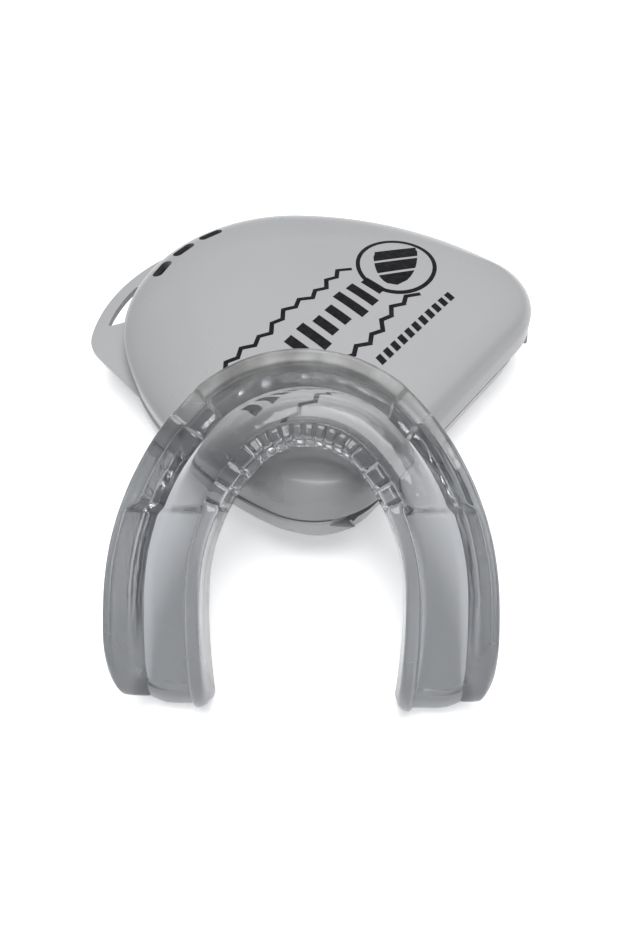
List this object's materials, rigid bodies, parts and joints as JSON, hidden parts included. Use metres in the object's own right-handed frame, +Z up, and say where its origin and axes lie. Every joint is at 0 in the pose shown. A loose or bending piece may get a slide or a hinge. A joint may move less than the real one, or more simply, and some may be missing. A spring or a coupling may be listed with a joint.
{
  "type": "mouthguard with case",
  "caption": "Clear boil-and-bite mouthguard leaning on a closed white hinged case with vent slots and a lanyard ear.",
  "frame": {"origin": "middle of the case's flat underside", "axes": "+Z up; X = 0 is the mouthguard's symmetry plane and its legs point to -Y; the case is turned 52.4 degrees about +Z"},
  "size_m": [0.1017, 0.1304, 0.0471],
  "materials": {
    "case_shell": "glossy white to light grey polypropylene",
    "hinge_pin": "satin plastic",
    "guard_eva": "clear EVA, glossy and slightly wavy",
    "print_ink": "black pad-printed ink"
  },
  "bodies": {
    "base": {"case_base": "case_shell", "hinge_pin_left": "hinge_pin", "hinge_pin_right": "hinge_pin"},
    "lid": {"case_lid": "case_shell"},
    "guard": {"mouthguard": "guard_eva"}
  },
  "joints": [
    {"name": "lid_hinge", "type": "hinge", "parent": "base", "child": "lid", "pos_m": [0.02678, -0.02062, 0.0122], "axis": [0.6101, 0.7923, 0], "range_deg": [0, 100]},
    {"name": "mouthguard_lift", "type": "slide", "parent": "base", "child": "guard", "axis": [0, -0.5299, 0.848], "range_m": [0, 0.097]}
  ],
  "couplings": [
    {"joint": "mouthguard_lift", "follows": "lid_hinge", "m_per_rad": 0.055}
  ]
}
